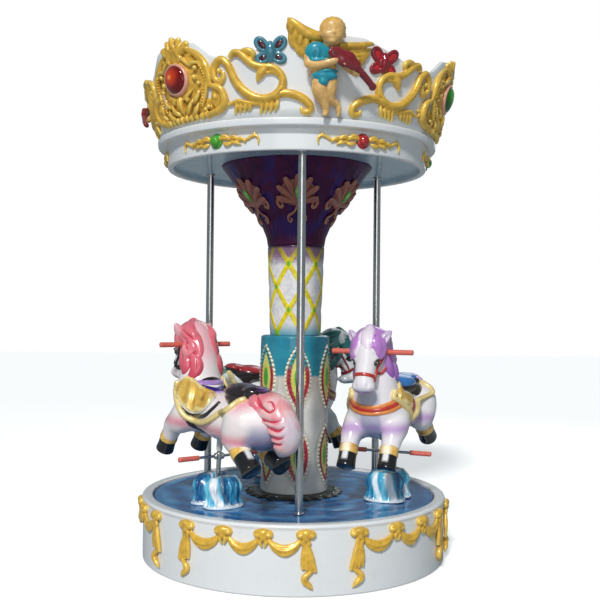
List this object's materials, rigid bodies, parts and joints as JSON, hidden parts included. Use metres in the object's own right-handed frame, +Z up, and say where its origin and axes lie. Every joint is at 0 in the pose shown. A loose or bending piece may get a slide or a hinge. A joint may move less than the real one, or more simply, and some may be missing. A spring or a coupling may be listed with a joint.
{
  "type": "carousel",
  "caption": "Small indoor children's carousel: a white drum with gold festoons, a turning blue deck, rocking horses on struts, and a flaring crown canopy on a painted column.",
  "frame": {"origin": "centre of the base drum's underside, on the floor", "axes": "+Z up along the axis that the deck turns on; -Y faces the picture's viewer, +X to their right"},
  "size_m": [1.628, 1.6586, 2.4357],
  "materials": {
    "white_gelcoat": "glossy gelcoat on moulded fibreglass",
    "gold_paint": "gold paint on moulded fibreglass",
    "deck_blue": "glossy blue paint with streaks like water",
    "black_paint": "glossy black paint",
    "teal_paint": "painted fibreglass, teal above white with medallions",
    "lattice_paint": "painted fibreglass with a yellow lattice",
    "deep_purple": "glossy dark purple paint",
    "green_ornament": "gold leaves round a green boss",
    "red_ornament": "gold leaves round a red boss",
    "cherub_paint": "painted skin, gold wings and turquoise cloth",
    "red_gem": "clear gloss over red",
    "green_gem": "clear gloss over green",
    "stainless_steel": "bare stainless tube",
    "wave_blue": "blue and white painted waves",
    "horse_pink": "white and pink paint under clear gloss",
    "saddle_purple": "glossy painted seat",
    "grip_red": "salmon-red rubber sleeve",
    "strut_steel": "plain steel",
    "horse_lilac": "white and lilac paint under clear gloss",
    "saddle_blue": "glossy painted seat",
    "horse_white": "white and green paint under clear gloss",
    "saddle_maroon": "glossy painted seat"
  },
  "bodies": {
    "base": {"base_drum": "white_gelcoat", "festoon_1": "gold_paint", "festoon_2": "gold_paint", "festoon_3": "gold_paint", "festoon_4": "gold_paint", "festoon_5": "gold_paint", "festoon_6": "gold_paint"},
    "platform": {"deck": "deck_blue", "column_flange": "black_paint", "pedestal": "teal_paint", "shaft": "lattice_paint", "funnel": "deep_purple", "canopy": "white_gelcoat", "fascia_ornament_1": "green_ornament", "fascia_ornament_2": "red_ornament", "fascia_ornament_3": "green_ornament", "fascia_ornament_4": "red_ornament", "fascia_ornament_5": "green_ornament", "fascia_ornament_6": "red_ornament", "crown_panel_1": "white_gelcoat", "scroll_left_1": "gold_paint", "scroll_right_1": "gold_paint", "cherub_1": "cherub_paint", "cartouche_1": "gold_paint", "crown_gem_1": "red_gem", "pole_1": "stainless_steel", "wave_block_1": "wave_blue", "crown_panel_2": "white_gelcoat", "scroll_left_2": "gold_paint", "scroll_right_2": "gold_paint", "cherub_2": "cherub_paint", "cartouche_2": "gold_paint", "crown_gem_2": "green_gem", "pole_2": "stainless_steel", "wave_block_2": "wave_blue", "crown_panel_3": "white_gelcoat", "scroll_left_3": "gold_paint", "scroll_right_3": "gold_paint", "cherub_3": "cherub_paint", "cartouche_3": "gold_paint", "crown_gem_3": "red_gem", "pole_3": "stainless_steel", "wave_block_3": "wave_blue"},
    "horse_1": {"horse_1": "horse_pink", "saddle_1": "saddle_purple", "handlebar_1": "grip_red", "strut_1": "strut_steel"},
    "horse_2": {"horse_2": "horse_lilac", "saddle_2": "saddle_blue", "handlebar_2": "grip_red", "strut_2": "strut_steel"},
    "horse_3": {"horse_3": "horse_white", "saddle_3": "saddle_maroon", "handlebar_3": "grip_red", "strut_3": "strut_steel"}
  },
  "joints": [
    {"name": "platform_spin", "type": "hinge", "parent": "base", "child": "platform", "pos_m": [0, 0, 0.28], "axis": [0, 0, 1], "continuous": true},
    {"name": "horse_rock_1", "type": "hinge", "parent": "platform", "child": "horse_1", "pos_m": [-0.35671, -0.32118, 0.38], "axis": [0.7986, 0.6018, 0], "range_deg": [-9.4, 0.6]},
    {"name": "horse_rock_2", "type": "hinge", "parent": "platform", "child": "horse_2", "pos_m": [0.45651, -0.14833, 0.38], "axis": [-0.9205, 0.3907, 0], "range_deg": [-5, 5]},
    {"name": "horse_rock_3", "type": "hinge", "parent": "platform", "child": "horse_3", "pos_m": [-0.0998, 0.46951, 0.38], "axis": [0.1219, -0.9925, 0], "range_deg": [-0.6, 9.4]}
  ]
}
